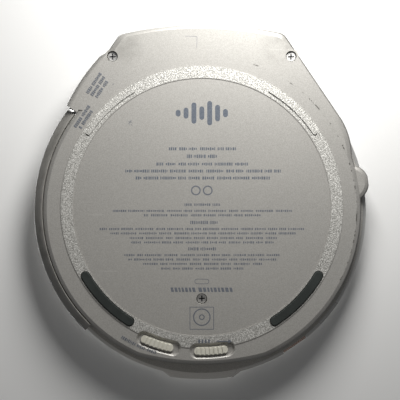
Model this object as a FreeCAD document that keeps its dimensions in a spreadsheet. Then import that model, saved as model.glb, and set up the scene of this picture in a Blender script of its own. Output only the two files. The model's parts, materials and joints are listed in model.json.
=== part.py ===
import FreeCAD, Part
import math
import os
import re
import Sketcher
from FreeCAD import Placement, Rotation, Vector

# A portable CD player, in millimetres. +Z is up, the feet stand on z = 0, the hinge is at +Y
# and the socket side is at +X. Turn angles named "bearing" are counted in the XY plane from
# +Y towards +X, about the spindle.

doc = FreeCAD.newDocument("portable_cd_player")
sheet = doc.addObject("Spreadsheet::Sheet", "Sizes")

SIZES = {
    # plan
    "spindle_y": -1.7,
    "lid_y": -3.6,
    "lid_radius": 64.4,
    "lid_wall": 1.2,
    "base_y": -3.0,
    "base_radius": 61.8,
    "base_wall": 1.2,
    "base_front": 62.9,
    "front_bow": 95.0,
    "sill_radius": 63.0,
    "tray_radius": 62.7,
    "bay_radius": 61.2,
    "corner_x": 31.9,
    "corner_y": 65.5,
    "corner_round": 1.6,
    "rear_y": 69.2,
    "block_front_y": 36.3,
    "side_slope": 56.0,
    "panel_proud": 2.4,
    "panel_end_proud": 1.55,
    "panel_middle": 23.2,
    "panel_half": 11.3,
    "rail_radius": 65.4,
    "boss_radius": 65.7,
    "boss_bottom": 1.7,
    "boss_round": 1.8,
    # heights
    "foot_bottom": 0.0,
    "ring_face": 0.55,
    "base_bottom": 0.8,
    "base_floor": 2.0,
    "sill_bottom": 6.0,
    "sill_top": 6.8,
    "base_top": 7.5,
    "tray_bottom": 7.6,
    "tray_under": 8.4,
    "tray_top": 9.4,
    "bay_top": 12.3,
    "block_top": 14.2,
    "skirt_bottom": 7.8,
    "skirt_rear": 12.7,
    "lid_top": 18.0,
    "lid_edge_round": 3.2,
    "edge_round": 1.8,
    "panel_round": 2.0,
    # underside ring, ribs and rubber feet
    "ring_inner": 49.8,
    "ring_outer": 54.7,
    "rib_radius": 52.4,
    "rib_width": 1.9,
    "rubber_radius": 52.3,
    "rubber_width": 3.4,
    "pocket_gap": 0.25,
    "pocket_top": 1.35,
    # sliders
    "well_radius": 55.8,
    "well_width": 4.3,
    "well_length": 16.2,
    "well_slope": 1.1,
    "well_slope_top": 1.7,
    "knob_width": 3.1,
    "knob_length": 13.1,
    "knob_bottom": 0.85,
    "knob_top": 1.9,
    "plate_top": 2.5,
    # screws
    "screw_x": 34.6,
    "screw_y": 56.6,
    "front_screw_y": -37.2,
    "screw_well": 2.1,
    "screw_shelf": 3.5,
    "screw_head": 1.8,
    "screw_head_bottom": 2.3,
    "screw_shank": 0.95,
    "screw_tip": 8.2,
    "screw_boss": 1.9,
    # hinge
    "hinge_y": 62.9,
    "hinge_z": 13.2,
    "barrel_radius": 3.1,
    "barrel_half": 21.0,
    "gutter_radius": 3.4,
    "gutter_half": 21.4,
    "pin_radius": 1.0,
    "pin_reach": 2.6,
    # disc drive
    "motor_radius": 11.0,
    "motor_bottom": 3.8,
    "motor_top": 8.6,
    "shaft_radius": 1.0,
    "disc_seat": 10.4,
    "flange_radius": 15.0,
    "flange_bottom": 9.1,
    "hub_radius": 7.4,
    "hub_top": 12.6,
    "sled_front": 12.2,
    "sled_rear": 28.4,
    "sled_half": 10.4,
    "sled_bottom": 4.0,
    "sled_top": 8.0,
    "lens_x": 24.0,
    "rod_y": 8.0,
    "rod_z": 5.8,
    "rod_radius": 1.25,
    "screw_axis_y": -16.5,
    "screw_axis_z": 5.8,
    "feed_radius": 1.4,
    # boards
    "board_bottom": 3.0,
    "board_top": 3.8,
    "board_radius": 59.0,
    "board_edge_y": -25.6,
    # batteries
    "cell_front_y": 15.4,
    "cell_length": 66.0,
    "cell_width": 16.6,
    "cell_height": 6.0,
    # lid inside and keys
    "cover_bottom": 13.8,
    "cover_top": 14.6,
    "cover_radius": 62.6,
    "lid_board_top": 15.4,
    "dome_top": 15.8,
    "key_radius": 43.0,
    "key_width": 6.6,
    "key_flange": 16.25,
    "key_flange_top": 16.65,
    "key_top": 18.3,
    # open button and latch
    "button_bearing": 214.0,
    "button_half": 5.2,
    "hook_y": -63.9,
    "catch_top": 9.7,
    "strip_top": 7.7,
    # sockets
    "plug_bore": 1.8,
    "socket_z": 4.9,
}

for row, (alias, value) in enumerate(SIZES.items(), 1):
    sheet.set(f"A{row}", alias)
    sheet.set(f"B{row}", str(value))
    sheet.setAlias(f"B{row}", alias)
doc.recompute()


def size(alias):
    """A driving dimension, read back from the sheet."""
    return float(sheet.get(alias))


def formula(text):
    """An expression with each alias pointed at the sheet."""
    return re.sub(r"[a-z]\w*", lambda m: f"Sizes.{m[0]}" if m[0] in SIZES else m[0], str(text))


# ---------------------------------------------------------------- building blocks

NODES = []


def keep(piece, name):
    """Name a finished sub-part, which is then written as a node."""
    piece.Label = name
    NODES.append(piece)
    return piece


def place(piece, at):
    for axis, text in zip("xyz", at):
        piece.setExpression(f"Placement.Base.{axis}", formula(text))
    return piece


def box(name, low, extent):
    """A Part::Box from its low corner and its extents, given as formulas."""
    piece = doc.addObject("Part::Box", name)
    for prop, text in zip(("Length", "Width", "Height"), extent):
        piece.setExpression(prop, formula(text))
    return place(piece, low)


def cylinder(name, radius, height, at, along="z"):
    """A Part::Cylinder from its radius, its height and the centre of its first end."""
    piece = doc.addObject("Part::Cylinder", name)
    piece.setExpression("Radius", formula(radius))
    piece.setExpression("Height", formula(height))
    turn = {"z": Rotation(), "x": Rotation(Vector(0, 1, 0), 90), "-x": Rotation(Vector(0, 1, 0), -90)}
    piece.Placement = Placement(Vector(), turn[along])
    return place(piece, at)


def fuse(name, *pieces):
    joined = doc.addObject("Part::MultiFuse", name)
    joined.Shapes = list(pieces)
    joined.Refine = True
    return joined


def cut(name, piece, *tools):
    tool = tools[0] if len(tools) == 1 else fuse(f"{name}_tools", *tools)
    rest = doc.addObject("Part::Cut", name)
    rest.Base = piece
    rest.Tool = tool
    rest.Refine = True
    return rest


def group(name, pieces):
    """Separate solids kept together in one node."""
    compound = doc.addObject("Part::Compound", name)
    compound.Links = pieces
    return keep(compound, name)


def new_body(name):
    return keep(doc.addObject("PartDesign::Body", name), name)


def new_sketch(body, name, edges, plane="XY_Plane", height="0"):
    """A sketch on one of the body's own planes, moved along its normal by a formula."""
    sketch = body.newObject("Sketcher::SketchObject", name)
    base = next(item for item in body.Origin.OriginFeatures if item.Role == plane)
    sketch.AttachmentSupport = [(base, "")]
    sketch.MapMode = "FlatFace"
    sketch.setExpression("AttachmentOffset.Base.z", formula(height))
    sketch.addGeometry(edges, False)
    return sketch


def round_sketch(body, name, radius, height, centre_y="0", centre_x="0"):
    """A sketch of one circle whose radius and centre are constrained to formulas."""
    sketch = new_sketch(body, name, [Part.Circle(Vector(), Vector(0, 0, 1), 5)], height=height)
    rules = (
        Sketcher.Constraint("Radius", 0, 5),
        Sketcher.Constraint("DistanceX", -1, 1, 0, 3, 1),
        Sketcher.Constraint("DistanceY", -1, 1, 0, 3, 1),
    )
    for number, (rule, text) in enumerate(zip(rules, (radius, centre_x, centre_y))):
        sketch.addConstraint(rule)
        sketch.setExpression(f"Constraints[{number}]", formula(text))
    return sketch


def feature(body, kind, sketch, length, up=True, middle=False):
    """A Pad or Pocket of a sketch. up is towards the sketch's normal."""
    made = body.newObject(f"PartDesign::{kind}", f"{kind}_{sketch.Name}")
    made.Profile = sketch
    made.setExpression("Length", formula(length))
    made.Midplane = middle
    made.Reversed = up == (kind == "Pocket")
    return made


def pad(body, name, edges, low, high, plane="XY_Plane"):
    sketch = new_sketch(body, name, edges, plane, low)
    return feature(body, "Pad", sketch, f"({high}) - ({low})")


def pocket(body, name, edges, low, high, plane="XY_Plane"):
    sketch = new_sketch(body, name, edges, plane, low)
    return feature(body, "Pocket", sketch, f"({high}) - ({low})")


def round_pad(body, name, radius, low, high, centre_y="0", centre_x="0"):
    sketch = round_sketch(body, name, radius, low, centre_y, centre_x)
    return feature(body, "Pad", sketch, f"({high}) - ({low})")


def round_pocket(body, name, radius, low, high, centre_y="0", centre_x="0"):
    sketch = round_sketch(body, name, radius, low, centre_y, centre_x)
    return feature(body, "Pocket", sketch, f"({high}) - ({low})")


# ---------------------------------------------------------------- outlines

SPINDLE = Vector(0, size("spindle_y"), 0)
LID_CENTRE = Vector(0, size("lid_y"), 0)


def bearing_vector(bearing):
    angle = math.radians(bearing)
    return Vector(math.sin(angle), math.cos(angle), 0)


def polygon(points):
    """Straight edges through the points, closed."""
    return [Part.LineSegment(a, b) for a, b in zip(points, points[1:] + points[:1])]


def rectangle(x0, y0, x1, y1):
    return polygon([Vector(x0, y0, 0), Vector(x1, y0, 0), Vector(x1, y1, 0), Vector(x0, y1, 0)])


def banana(radius, width, bearing, length, centre=SPINDLE):
    """A slot bent round the centre, with round ends: its length is along its middle line."""
    half = math.degrees((length - width) / 2 / radius)
    first, middle, last = (bearing_vector(bearing + turn) for turn in (-half, 0, half))
    inner, outer = radius - width / 2, radius + width / 2
    caps = []
    for end, sign in ((first, -1), (last, 1)):
        outward = Vector(end.y, -end.x, 0) * sign
        tip = centre + end * radius + outward * (width / 2)
        caps.append(Part.Arc(centre + end * inner, tip, centre + end * outer))
    arcs = [Part.Arc(centre + first * r, centre + middle * r, centre + last * r) for r in (inner, outer)]
    return arcs + caps


def tangent_block(bearing, radius, half_width, depth, centre=SPINDLE):
    """A rectangle whose outer side is square to the bearing at the radius."""
    out = bearing_vector(bearing)
    along = Vector(out.y, -out.x, 0)
    near = centre + out * (radius - depth)
    far = centre + out * radius
    return polygon([near - along * half_width, near + along * half_width,
                    far + along * half_width, far - along * half_width])


FAIRING_BEARING = 288.5
FAIRING_REACH = 3.7


def side_direction():
    """The way the block's +X side runs forward from its rear corner."""
    slope = math.radians(size("side_slope"))
    return Vector(math.cos(slope), -math.sin(slope), 0)


def fairing(side, foot, inset):
    """An arc tangent to the block's -X side that runs from it into the base's disc."""
    centre = Vector(0, size("base_y"), 0)
    tip = centre + bearing_vector(FAIRING_BEARING) * (size("base_radius") - 0.5 - inset)
    chord = tip - foot
    turn = side.getAngle(chord)
    outward = Vector(chord.y, -chord.x, 0).normalize()
    middle = (foot + tip) / 2 + outward * (chord.Length / 2 * math.tan(turn / 2))
    return [Part.Arc(foot, middle, tip)], tip


def mirrored(point):
    return Vector(-point.x, point.y, 0)


def block_outline(inset=0.0, faired=False):
    """The hinge block: an arched rear, two rounded corners and two straight sides."""
    along = side_direction()
    inward = Vector(along.y, -along.x, 0)
    corner = Vector(size("corner_x"), size("corner_y"), 0) + inward * inset
    corner.y -= inset * 0.35
    arch_top = size("rear_y") - inset
    drop = arch_top - corner.y
    arch_radius = (corner.x ** 2 + drop ** 2) / (2 * drop)
    rear_x = corner.x - size("corner_round")
    rear = Vector(rear_x, arch_top - arch_radius + math.sqrt(arch_radius ** 2 - rear_x ** 2), 0)
    side = corner + along * size("corner_round")
    middle = (rear + side) * 0.275 + corner * 0.45
    foot = corner + along * ((corner.y - size("block_front_y")) / -along.y)
    far_foot, curve, tip = mirrored(foot), [], mirrored(foot)
    if faired:
        far_foot = mirrored(foot + along * FAIRING_REACH)
        curve, tip = fairing(mirrored(along), far_foot, inset)
    return [
        Part.Arc(mirrored(rear), Vector(0, arch_top, 0), rear),
        Part.Arc(rear, middle, side),
        Part.LineSegment(side, foot),
        Part.LineSegment(foot, tip),
        *curve,
        Part.LineSegment(far_foot, mirrored(side)),
        Part.Arc(mirrored(side), mirrored(middle), mirrored(rear)),
    ]


def panel_frame():
    """The middle of the socket panel's bowed face, its outward direction and its way forward."""
    along = side_direction()
    outward = Vector(-along.y, along.x, 0)
    corner = Vector(size("corner_x"), size("corner_y"), 0)
    return corner + along * size("panel_middle") + outward * size("panel_proud"), outward, along


def panel_outline(inset=0.0):
    """The socket panel on the block's +X side: a bowed face with a sloped rear flank."""
    middle, outward, along = panel_frame()
    half = size("panel_half") - inset
    bow = size("panel_proud") - size("panel_end_proud")
    root = outward * (size("panel_proud") + 3.5)
    rear = middle - along * half - outward * (bow + inset)
    front = middle + along * half - outward * (bow + inset)
    flank = middle - along * (half + 2.8) - outward * size("panel_proud")
    inner = [front, middle + along * half - root, middle - along * (half + 2.8) - root, flank, rear]
    return [Part.Arc(rear, middle - outward * inset, front)] + [
        Part.LineSegment(a, b) for a, b in zip(inner, inner[1:])]


def base_outline(inset=0.0):
    """The base's disc, with a flatter front behind the lid's lip."""
    centre = Vector(0, size("base_y"), 0)
    radius = size("base_radius") - inset
    bow = size("front_bow") - inset
    bow_centre_y = size("front_bow") - size("base_front")
    rise = bow_centre_y - centre.y
    reach = (radius ** 2 - bow ** 2 + rise ** 2) / (2 * rise)
    side = math.sqrt(radius ** 2 - reach ** 2)
    right, left = centre + Vector(side, reach, 0), centre + Vector(-side, reach, 0)
    return [Part.Arc(left, centre + Vector(0, radius, 0), right),
            Part.Arc(right, Vector(0, inset - size("base_front"), 0), left)]


def edges_at(body, test):
    """The names of the body's edges that pass a test."""
    doc.recompute()
    return [f"Edge{n}" for n, edge in enumerate(body.Shape.Edges, 1) if test(edge)]


def dress(body, kind, prop, amount, test):
    """A Fillet or Chamfer on the edges that pass a test."""
    last = body.Tip
    names = edges_at(body, test)
    made = body.newObject(f"PartDesign::{kind}", f"{kind}_{body.Name}_{len(body.Group)}")
    made.Base = (last, names)
    made.setExpression(prop, formula(amount))
    return made


def at_height(z):
    return lambda edge: all(abs(v.Z - z) < 1e-4 for v in edge.Vertexes) and abs(
        edge.BoundBox.ZMax - z) < 1e-3


# ---------------------------------------------------------------- casing

SCREWS = [("-screw_x", "screw_y"), ("screw_x", "screw_y"), ("0", "front_screw_y")]
WELLS = {"volume_limit": 162.4, "hold": 184.2}
RIBS = (316.5, 43.7)
RIB_LENGTH = 25.5
RUBBER = {"left": 226.0, "right": 134.2}
RUBBER_LENGTH = 28.0
BOSS_BEARING = 278.9
RAIL_START = -45.9
RAIL_TURN = 86.0
RAIL_GAP = 1.15
DAMPERS = [(-14.0, 9.6), (-14.0, -19.0), (36.0, -22.2)]


def is_panel_rim(edge):
    """The bowed lower edge of the socket panel."""
    middle, outward, _ = panel_frame()
    reach = (edge.CenterOfMass - middle).dot(outward)
    return at_height(size("base_bottom"))(edge) and -0.8 < reach < 0.1 and edge.Length > 15


def boss_outline(inset=0.0):
    """The headphone boss: a round bump on the base's edge."""
    out = bearing_vector(BOSS_BEARING)
    along = Vector(out.y, -out.x, 0)
    face, root = SPINDLE + out * (size("boss_radius") - inset), SPINDLE + out * 60.8
    near, far = root - along * (6.6 - inset), root + along * (7.0 - inset)
    return [Part.Arc(near, face, far), Part.LineSegment(far, near)]


def slope_well(body, name, bearing):
    """A well with round ends whose sides slope out to the underside."""
    length, width, flare = size("well_length"), size("well_width"), 2 * size("well_slope")
    mouth = banana(size("well_radius"), width + flare, bearing, length + flare)
    deep = banana(size("well_radius"), width, bearing, length)
    loft = body.newObject("PartDesign::SubtractiveLoft", f"well_slope_{name}")
    loft.Profile = new_sketch(body, f"well_mouth_{name}", mouth, height="ring_face - 0.1")
    loft.Sections = [new_sketch(body, f"well_throat_{name}", deep, height="well_slope_top")]
    loft.Ruled = True
    pocket(body, f"well_{name}", deep, "well_slope_top - 0.1", "base_floor + 0.1")


def rounded_pad(body, name, outline, low="base_bottom", round_name="edge_round"):
    """A pad up to the base's top whose lower edge is rounded, lofted through three outlines."""
    bend = size(round_name)
    sections = []
    for number, share in enumerate((0.0, 0.3, 1.0)):
        inset = bend - math.sqrt(bend ** 2 - (bend * (1 - share)) ** 2)
        sections.append(new_sketch(body, f"{name}_rim_{number}", outline(inset),
                                   height=f"{low} + {round_name} * {share}"))
    loft = body.newObject("PartDesign::AdditiveLoft", f"{name}_rim")
    loft.Profile = sections[0]
    loft.Sections = sections[1:]
    loft.Ruled = True
    pad(body, name, outline(0.0), f"{low} + {round_name}", "base_top")


def faired_block(inset):
    return block_outline(inset, faired=True)


def make_bottom_cabinet():
    body = new_body("bottom_cabinet")
    rounded_pad(body, "base_disc", base_outline)
    rounded_pad(body, "base_block", faired_block)
    pad(body, "base_panel", panel_outline(), "base_bottom", "base_top")
    dress(body, "Fillet", "Radius", "panel_round", is_panel_rim)
    rounded_pad(body, "headphone_boss", boss_outline, "boss_bottom", "boss_round")
    round_pad(body, "sill", "sill_radius", "sill_bottom", "sill_top", "lid_y")
    wall = size("base_wall")
    pocket(body, "hollow_disc", base_outline(wall), "base_floor", "base_top + 1")
    pocket(body, "hollow_block", faired_block(wall), "base_floor", "base_top + 1")
    pocket(body, "hollow_panel", panel_outline(wall), "base_floor", "base_top + 1")
    ring = [Part.Circle(SPINDLE, Vector(0, 0, 1), size(name)) for name in ("ring_inner", "ring_outer")]
    pad(body, "ring", ring, "ring_face", "base_bottom + 0.1")
    for number, bearing in enumerate(RIBS):
        rib = banana(size("rib_radius"), size("rib_width"), bearing, RIB_LENGTH)
        pad(body, f"rib_{number}", rib, "foot_bottom", "base_bottom + 0.1")
    for side, bearing in RUBBER.items():
        width = size("rubber_width") + 2 * size("pocket_gap")
        slot = banana(size("rubber_radius"), width, bearing, RUBBER_LENGTH + 2 * size("pocket_gap"))
        pocket(body, f"rubber_pocket_{side}", slot, "ring_face - 0.2", "pocket_top")
    for name, bearing in WELLS.items():
        slope_well(body, name, bearing)
        plate = banana(size("well_radius"), size("well_width") + 1.6, bearing, size("well_length") + 1.6)
        pad(body, f"well_plate_{name}", plate, "base_floor", "plate_top")
        stem = tangent_block(bearing, size("well_radius") + 0.7, 2.6, 1.4)
        pocket(body, f"well_slot_{name}", stem, "base_floor - 0.5", "plate_top + 0.1")
    for number, (x, y) in enumerate(SCREWS):
        round_pad(body, f"screw_post_{number}", "screw_well + 0.9", "base_floor - 0.2",
                  "screw_shelf + 1.2", y, x)
        round_pocket(body, f"screw_well_{number}", "screw_well", "ring_face - 0.2", "screw_shelf", y, x)
        round_pocket(body, f"boss_room_{number}", "screw_boss + 0.15", "screw_shelf + 1.2",
                     "base_top + 1", y, x)
        round_pocket(body, f"screw_hole_{number}", "screw_shank + 0.15", "screw_shelf - 0.1",
                     "screw_shelf + 2", y, x)
    for number, (x, y) in enumerate(DAMPERS):
        round_pad(body, f"damper_post_{number}", "0.9", "base_floor - 0.2", "4.9", str(y), str(x))
    pocket(body, "latch_notch", rectangle(-10.8, -64.5, 4.4, -60.5), "sill_top + 0.05",
           "base_top + 1")
    button_notch = tangent_block(size("button_bearing"), 64.5, 3.4, 5.0)
    pocket(body, "button_room", button_notch, "sill_top + 0.05", "base_top + 1")
    cut_boss_hole(body)
    cut_panel_holes(body)


def upright_plane_sketch(body, name, point, outward, radius):
    """A circle in a plane that stands square to a level direction."""
    sketch = body.newObject("Sketcher::SketchObject", name)
    base = next(item for item in body.Origin.OriginFeatures if item.Role == "XY_Plane")
    sketch.AttachmentSupport = [(base, "")]
    sketch.MapMode = "FlatFace"
    turn = Rotation(Vector(0, 0, 1), outward)
    sketch.AttachmentOffset = Placement(point, turn)
    sketch.addGeometry([Part.Circle(Vector(), Vector(0, 0, 1), radius)], False)
    return sketch


def cut_boss_hole(body):
    out = bearing_vector(BOSS_BEARING)
    start = SPINDLE + out * (size("boss_radius") - 8) + Vector(0, 0, size("socket_z"))
    sketch = upright_plane_sketch(body, "headphone_hole", start, out,
                                  size("plug_bore") + NOSE_WALL + NOSE_GAP)
    feature(body, "Pocket", sketch, "10")


# Each panel socket: offset along the panel, bore radius, bore depth, half width, depth, height, pin
PANEL_SOCKETS = {"dc_jack": (-5.4, 2.4, 8.0, 3.4, 8.4, 5.2, True),
                 "line_out_jack": (5.4, size("plug_bore"), 9.0, 2.9, 9.5, 4.6, False)}


def cut_panel_holes(body):
    middle, outward, along = panel_frame()
    for name, (offset, bore, *_) in PANEL_SOCKETS.items():
        start = middle + along * offset - outward * 6 + Vector(0, 0, size("socket_z"))
        sketch = upright_plane_sketch(body, f"{name}_hole", start, outward,
                                      bore + NOSE_WALL + NOSE_GAP)
        feature(body, "Pocket", sketch, "8")


def make_side_rail():
    """A strip swept round the base's +X side, sloped underneath, that hooks over the base's sill."""
    body = new_body("side_rail")
    low, high, top = size("base_bottom") + 0.6, 5.0, size("base_top")
    inner, outer = size("base_radius") + 0.02, size("rail_radius")
    hook, sill = size("sill_radius") + 0.7, size("sill_bottom") - 0.05
    profile = [Vector(inner, low, 0), Vector(outer - 0.5, high - 0.6, 0), Vector(outer, high, 0),
               Vector(outer, top, 0), Vector(hook, top, 0), Vector(hook, sill, 0), Vector(inner, sill, 0)]
    sketch = new_sketch(body, "rail_profile", polygon(profile), "XZ_Plane")
    sweep = body.newObject("PartDesign::Revolution", "rail_sweep")
    sweep.Profile = sketch
    sweep.ReferenceAxis = (sketch, ["V_Axis"])
    sweep.Angle = RAIL_TURN
    body.Placement = Placement(Vector(0, size("base_y"), 0), Rotation(Vector(0, 0, 1), RAIL_START))
    middle, outward, along = panel_frame()
    start = middle + along * (size("panel_half") + RAIL_GAP)
    corners = [start - outward * 8, start + outward * 8, start + outward * 8 - along * 20,
               start - outward * 8 - along * 20]
    to_rail = body.Placement.inverse()
    end = polygon([to_rail.multVec(corner) for corner in corners])
    pocket(body, "rail_end", end, "base_bottom", "base_top + 1")
    return body


def make_rubber_feet():
    for side, bearing in RUBBER.items():
        body = new_body(f"rubber_foot_{side}")
        outline = banana(size("rubber_radius"), size("rubber_width"), bearing, RUBBER_LENGTH)
        pad(body, f"rubber_{side}", outline, "foot_bottom", "pocket_top - 0.02")
        dress(body, "Fillet", "Radius", "0.35", at_height(0))


def make_screws():
    pieces = []
    for number, (x, y) in enumerate(SCREWS):
        head = cylinder(f"screw_head_{number}", "screw_head", "screw_shelf - screw_head_bottom",
                        (x, y, "screw_head_bottom"))
        shank = cylinder(f"screw_shank_{number}", "screw_shank", "screw_tip - screw_shelf",
                         (x, y, "screw_shelf"))
        slots = [
            box(f"screw_slot_{number}_0", (f"({x}) - 1.1", f"({y}) - 0.22", "screw_head_bottom - 0.1"),
                ("2.2", "0.44", "0.6")),
            box(f"screw_slot_{number}_1", (f"({x}) - 0.22", f"({y}) - 1.1", "screw_head_bottom - 0.1"),
                ("0.44", "2.2", "0.6")),
        ]
        pieces.append(cut(f"screw_{number}", fuse(f"screw_blank_{number}", head, shank), *slots))
    return group("case_screws", pieces)


def make_upper_cabinet():
    body = new_body("upper_cabinet")
    round_pad(body, "tray_disc", "tray_radius", "tray_bottom", "bay_top", "lid_y")
    pad(body, "tray_block", block_outline(), "tray_bottom", "block_top")
    pad(body, "tray_panel", panel_outline(), "tray_bottom", "block_top")
    round_pocket(body, "lid_room", "lid_radius + 0.45", "bay_top", "block_top + 1", "lid_y")
    dress(body, "Fillet", "Radius", "0.5", lambda e: at_height(size("block_top"))(e)
          and (e.CenterOfMass - LID_CENTRE).Length > size("lid_radius") + 4)
    round_pocket(body, "disc_bay", "bay_radius", "tray_top", "bay_top + 3", "spindle_y")
    round_pocket(body, "tray_hollow", "tray_radius - base_wall", "tray_bottom - 1", "tray_under", "lid_y")
    gutter = new_sketch(body, "gutter", [Part.Circle(Vector(size("hinge_y"), size("hinge_z"), 0),
                        Vector(0, 0, 1), size("gutter_radius"))], "YZ_Plane")
    feature(body, "Pocket", gutter, "2 * gutter_half", middle=True)
    mouth = new_sketch(body, "gutter_mouth", rectangle(
        size("hinge_y") - size("gutter_radius"), size("hinge_z"),
        size("hinge_y") + size("gutter_radius"), size("block_top") + 1), "YZ_Plane")
    feature(body, "Pocket", mouth, "2 * gutter_half", middle=True)
    room = new_sketch(body, "tongue_room", rectangle(size("hinge_y") - 9, size("hinge_z") - 0.4,
                      size("hinge_y"), size("block_top") + 1), "YZ_Plane")
    feature(body, "Pocket", room, "2 * gutter_half", middle=True)
    pins = new_sketch(body, "pin_holes", [Part.Circle(Vector(size("hinge_y"), size("hinge_z"), 0),
                      Vector(0, 0, 1), size("pin_radius"))], "YZ_Plane")
    feature(body, "Pocket", pins, "2 * (gutter_half + pin_reach)", middle=True)
    round_pocket(body, "turntable_hole", "flange_radius + 0.8", "tray_under - 1", "tray_top + 1",
                 "spindle_y")
    sy = size("spindle_y")
    pocket(body, "pickup_window", rectangle(0, sy - 11.2, 59.6, sy + 11.2), "tray_under - 1",
           "tray_top + 1")
    cells = size("cell_front_y")
    half = size("cell_length") / 2 + 1.0
    pocket(body, "battery_window", rectangle(-half, cells - 0.4, half, cells + 34.0), "tray_under - 1",
           "tray_top + 1")
    for number, (x, y) in enumerate(SCREWS):
        round_pad(body, f"boss_{number}", "screw_boss", "screw_shelf + 1.25", "tray_under + 0.2",
                  y, x)
        round_pocket(body, f"boss_hole_{number}", "screw_shank + 0.05", "screw_shelf + 1",
                     "screw_tip + 0.2", y, x)
    pocket(body, "latch_slot", rectangle(-4.2, -67.2, 4.2, -61.7), "tray_bottom - 1", "bay_top + 1")
    button = tangent_block(size("button_bearing"), 66.0, size("button_half") + 0.4, 5.6)
    pocket(body, "button_slot", button, "tray_bottom - 1", "11.6")
    return body


# ---------------------------------------------------------------- lid

KEYS = {"previous_key": (-38.0, 11.0), "stop_key": (-19.5, 10.0), "play_key": (0.0, 13.0),
        "next_key": (19.5, 10.0), "sound_key": (38.0, 11.0)}


def key_bearing(turn):
    return 180.0 - turn


def lid_profile():
    """Half the lid shell's section: a skirt, a rounded shoulder and a slightly domed top."""
    outer, wall = size("lid_radius"), size("lid_wall")
    top, bottom, bend = size("lid_top"), size("skirt_bottom"), size("lid_edge_round")
    drop = 0.5
    shoulder = top - drop
    inner_bend = bend - wall
    half = math.sqrt(0.5)
    return [
        Part.LineSegment(Vector(outer - wall, bottom, 0), Vector(outer, bottom, 0)),
        Part.LineSegment(Vector(outer, bottom, 0), Vector(outer, shoulder - bend, 0)),
        Part.Arc(Vector(outer, shoulder - bend, 0),
                 Vector(outer - bend + bend * half, shoulder - bend + bend * half, 0),
                 Vector(outer - bend, shoulder, 0)),
        Part.Arc(Vector(outer - bend, shoulder, 0), Vector(outer * 0.55, top - drop * 0.33, 0),
                 Vector(0, top, 0)),
        Part.LineSegment(Vector(0, top, 0), Vector(0, top - wall, 0)),
        Part.LineSegment(Vector(0, top - wall, 0), Vector(outer - bend, shoulder - wall, 0)),
        Part.Arc(Vector(outer - bend, shoulder - wall, 0),
                 Vector(outer - bend + inner_bend * half, shoulder - bend + inner_bend * half, 0),
                 Vector(outer - wall, shoulder - bend, 0)),
        Part.LineSegment(Vector(outer - wall, shoulder - bend, 0), Vector(outer - wall, bottom, 0)),
    ]


def make_lid_shell():
    body = new_body("lid_shell")
    sketch = new_sketch(body, "lid_section", lid_profile(), "XZ_Plane")
    sweep = body.newObject("PartDesign::Revolution", "lid_sweep")
    sweep.Profile = sketch
    sweep.ReferenceAxis = (sketch, ["V_Axis"])
    sweep.Angle = 360
    body.Placement = Placement(LID_CENTRE, Rotation())
    shift = -LID_CENTRE
    rear = rectangle(-70, size("block_front_y") - 0.6 + shift.y, 70, 80)
    pocket(body, "rear_skirt", rear, "skirt_bottom - 1", "skirt_rear")
    front = size("lid_radius")
    root_y, chord = -front * 0.968, -front + 0.9
    lip = [Vector(-15.6, root_y, 0), Vector(-12.3, -front - 0.5, 0), Vector(12.3, -front - 0.5, 0),
           Vector(15.6, root_y, 0)]
    inner = [lip[3], Vector(10, chord, 0), Vector(-10, chord, 0), lip[0]]
    edges = [Part.LineSegment(lip[0], lip[1]), Part.Arc(lip[1], Vector(0, -front - 1.3, 0), lip[2]),
             Part.LineSegment(lip[2], lip[3])]
    edges += [Part.LineSegment(a, b) for a, b in zip(inner, inner[1:])]
    pad(body, "front_lip", edges, "skirt_bottom", "13")
    hinge = Vector(size("hinge_y") - size("lid_y"), size("hinge_z"), 0)
    barrel = new_sketch(body, "barrel", [Part.Circle(hinge, Vector(0, 0, 1), size("barrel_radius"))],
                        "YZ_Plane")
    feature(body, "Pad", barrel, "2 * barrel_half", middle=True)
    top = size("hinge_z") + size("barrel_radius")
    tongue = new_sketch(body, "tongue", rectangle(hinge.x - 6.5, size("hinge_z"), hinge.x, top),
                        "YZ_Plane")
    feature(body, "Pad", tongue, "2 * barrel_half", middle=True)
    pin = Part.Circle(hinge, Vector(0, 0, 1), size("pin_radius") + 0.04)
    for sign in (-1, 1):
        bore = new_sketch(body, f"pin_bore_{sign + 1}", [pin], "YZ_Plane",
                          f"{sign} * (barrel_half - pin_reach)")
        feature(body, "Pocket", bore, "pin_reach + 1", up=sign > 0)
    notch = tangent_block(size("button_bearing"), 68.0, size("button_half") + 0.35, 9.0,
                          SPINDLE - LID_CENTRE)
    pocket(body, "button_notch", notch, "skirt_bottom - 1", "11.9")
    for name, (turn, length) in KEYS.items():
        hole = banana(size("key_radius"), size("key_width") + 0.3, key_bearing(turn), length + 0.3,
                      Vector())
        pocket(body, f"{name}_hole", hole, "lid_top - 3", "lid_top + 1")
    return body


def make_lid_inner_cover():
    """The plate under the lid, with the catch that the latch holds."""
    body = new_body("lid_inner_cover")
    round_pad(body, "cover_plate", "cover_radius", "cover_bottom", "cover_top", "lid_y")
    notch = rectangle(-22.5, size("hinge_y") - 7.2, 22.5, 75)
    pocket(body, "cover_notch", notch, "cover_bottom - 1", "cover_top + 1")
    pad(body, "catch_leg", rectangle(-2.4, -66.4, 2.4, -65.7), "9.0", "cover_bottom + 0.2")
    pad(body, "catch_nose", rectangle(-2.4, -66.4, 2.4, size("hook_y") - 0.5), "9.0", "catch_top")
    return body


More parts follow.
